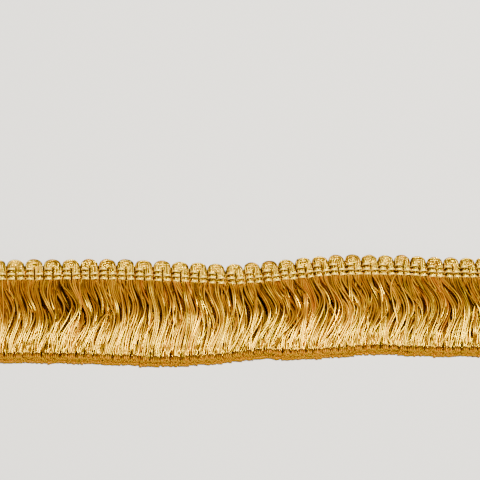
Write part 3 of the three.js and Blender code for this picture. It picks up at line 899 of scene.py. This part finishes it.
def yarnMaterial(name, s):
    material = bpy.data.materials.new(name)
    material.use_nodes = True
    tree = material.node_tree
    shader = tree.nodes["Principled BSDF"]
    tone, cut = storedValue(tree, "yarnTone"), storedValue(tree, "cutEnd")
    paintedLight = paintedLightOf(tree, s)
    twist = addNode(tree, "ShaderNodeGroup", node_tree=plyTwist)
    twist.inputs["Plies"].default_value = s["plies"]
    twist.inputs["Turn Length"].default_value = s["turnLength"]

    # colour: the tone or the cut end's own, darkened by painted shade where the yarn lies deep or against
    # the next, with fibres and ridges
    ended = mixColour(tree, cut, toneColour(tree, tone, s), (*s["cutColour"], 1))
    lit = mixColour(tree, paintedLight, (*s["shadow"], 1), (1, 1, 1, 1))
    # the ply's ridge paints shade in the grooves between plies and lighter colour on their crests
    fibresAndRidgeShade = maths(tree, "ADD", maths(tree, "MULTIPLY", twist.outputs["Fibre"], s["fibreShade"]),
                  maths(tree, "MULTIPLY", twist.outputs["Ridge"], s["ridgeShade"]))
    # what fibres and ridges add on average is taken off again
    evened = 1.03 - 0.5 * s["fibreShade"] - 0.64 * s["ridgeShade"]
    # the tone times its painted shade
    own = addNode(tree, "ShaderNodeVectorMath", {0: ended, 1: lit}, operation="MULTIPLY").outputs[0]
    fibredAndShaded = addNode(tree, "ShaderNodeVectorMath",
                      {0: own, "Scale": maths(tree, "ADD", fibresAndRidgeShade, evened)}, operation="SCALE")
    tree.links.new(fibredAndShaded.outputs[0], shader.inputs["Base Color"])

    # gloss differs from yarn to yarn; a cut end is dull
    gloss = maths(tree, "FRACT", maths(tree, "MULTIPLY", tone, 17.0))
    rough = mapRange(tree, gloss, (0.0, 1.0), (s["roughLow"], s["roughHigh"]))
    rough = mapRange(tree, cut, (0.0, 1.0), (rough, s["cutRough"]))
    tree.links.new(rough, shader.inputs["Roughness"])
    # where shade is painted the yarn turns metallic, so it reflects no more than its own darkened colour:
    # painted shade on the highlights too
    metal = mapRange(tree, paintedLight, (0.05, 0.4), (s["shadeMetal"], s["metal"]))
    metal = mapRange(tree, cut, (0.0, 1.0), (metal, s["cutMetal"]))
    tree.links.new(metal, shader.inputs["Metallic"])
    relief = addNode(tree, "ShaderNodeBump",
                     {"Height": twist.outputs["Ridge"], "Distance": s["ridgeHeight"], "Strength": 1.0})
    tree.links.new(relief.outputs[0], shader.inputs["Normal"])
    shader.inputs["Specular IOR Level"].default_value = s["specular"]
    shader.inputs["IOR"].default_value = s["index"]
    shader.inputs["Specular Tint"].default_value = (*s["shine"], 1)
    return material


goldYarn = yarnMaterial("goldYarn", yarnFinish)
headingLitYarn = yarnMaterial("headingLitYarn", headingLitFinish)
creamThread = yarnMaterial("creamThread", binderFinish)
brownThread = yarnMaterial("brownThread", lockFinish)
print("materials ready")

laidBrush = layBrush(brush)
laidHeading = layHeading(heading)
partCount = 4     # the brush and the heading are cut into this many lengths
# how many sides a yarn has, and every how many stations it keeps one
sweeping = {"face": {"sides": 6, "every": 1}, "core": {"sides": 5, "every": 2}, "thread": {"sides": 6}}


def makeYarnPiece(name, laid, chosen, s, material):
    stations = laid["x"].shape[1]
    keep = np.unique(np.r_[np.arange(0, stations, s["every"]), stations - 1])
    columns = ("x", "y", "z", "radius", "cut", "paintedShade")
    x, y, z, radius, cut, paintedShade = (laid[column][chosen][:, keep] for column in columns)
    guide = guideMesh(name, x, y, z, radius, laid["tone"][chosen][:, None], cut, paintedShade)
    return sweep(name, guide, len(x), s["sides"], material)


def makeThreadPiece(name, threads, diameter, material):
    x, y, z, paintedShade = (np.array([thread[k] for thread in threads]) for k in range(4))
    tone = chance.random((len(threads), 1))
    guide = guideMesh(name, x, y, z, np.full(x.shape, diameter / 2), tone, 0 * x, paintedShade)
    return sweep(name, guide, len(threads), sweeping["thread"]["sides"], material)


pieces = []
for name, laid, material in (("brush", laidBrush, goldYarn), ("heading", laidHeading, headingLitYarn)):
    isFace = laid["layer"] >= faceFrom
    for part in range(partCount):
        inPart = (laid["leg"] // 2) * partCount // loopCount == part
        loops = [n for i, n in enumerate(loopNames) if i * partCount // loopCount == part]
        nodes = ["brush"] if name == "brush" else loops
        for label, chosen in (("face", inPart & isFace), ("core", inPart & ~isFace)):
            made = makeYarnPiece(f"{name}_{label}_{part + 1}", laid, chosen, sweeping[label], material)
            pieces.append((made, nodes, "yarn"))
for row in range(3):
    made = makeThreadPiece(f"chain_row_{row + 1}", layBinderRow(row, binder), binder["thread"], creamThread)
    pieces.append((made, [f"binder_{row + 1}"], "binder_thread"))
made = makeThreadPiece("lock_thread_line", [layLock(lock)], lock["thread"], brownThread)
pieces.append((made, ["lock_stitch"], "lock_thread"))
for made, nodes, slotName in pieces:
    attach(made, "root")
    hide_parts(*nodes)
print("yarn swept,", sum(len(p.data.loop_triangles) for p, _, _ in pieces), "triangles")


# floor and light: places and sizes in metres, power in watts
studio = {
    "floorColour": (0.78, 0.78, 0.77), "floorSize": 6.0, "floorRough": 0.8,
    "keyAt": (0.15, 0.18, 0.95), "keySize": 0.14, "keyPower": 29, "keyColour": (1.0, 0.95, 0.86),
    "fillAt": (-0.25, -1.15, 0.42), "fillSize": 0.5, "fillPower": 6.0,
    "fillColour": (1.0, 0.96, 0.9), "skyColour": (1.0, 0.97, 0.93), "skyStrength": 0.07,
}


def makeFloor(s):
    mesh = bpy.data.meshes.new("floor")
    half = s["floorSize"] / 2
    corners = [(-half, -half, 0), (half, -half, 0), (half, half, 0), (-half, half, 0)]
    mesh.from_pydata(corners, [], [(0, 1, 2, 3)])
    floor = bpy.data.objects.new("floor", mesh)
    bpy.context.collection.objects.link(floor)
    material = bpy.data.materials.new("floorPaint")
    material.use_nodes = True
    shader = material.node_tree.nodes["Principled BSDF"]
    shader.inputs["Base Color"].default_value = (*s["floorColour"], 1)
    shader.inputs["Roughness"].default_value = s["floorRough"]
    mesh.materials.append(material)


def makeLight(name, place, size, power, colour):
    data = bpy.data.lights.new(name, "AREA")
    data.shape = "DISK"
    data.size = size
    data.energy = power
    data.color = colour
    light = bpy.data.objects.new(name, data)
    bpy.context.collection.objects.link(light)
    light.location = place
    light.rotation_euler = (-Vector(place)).to_track_quat("-Z", "Y").to_euler()


def makeStudio(s):
    makeFloor(s)
    makeLight("key", s["keyAt"], s["keySize"], s["keyPower"], s["keyColour"])
    makeLight("fill", s["fillAt"], s["fillSize"], s["fillPower"], s["fillColour"])
    world = bpy.data.worlds.new("studio")
    bpy.context.scene.world = world
    world.use_nodes = True
    background = world.node_tree.nodes["Background"]
    background.inputs["Color"].default_value = (*s["skyColour"], 1)
    background.inputs["Strength"].default_value = s["skyStrength"]


makeStudio(studio)
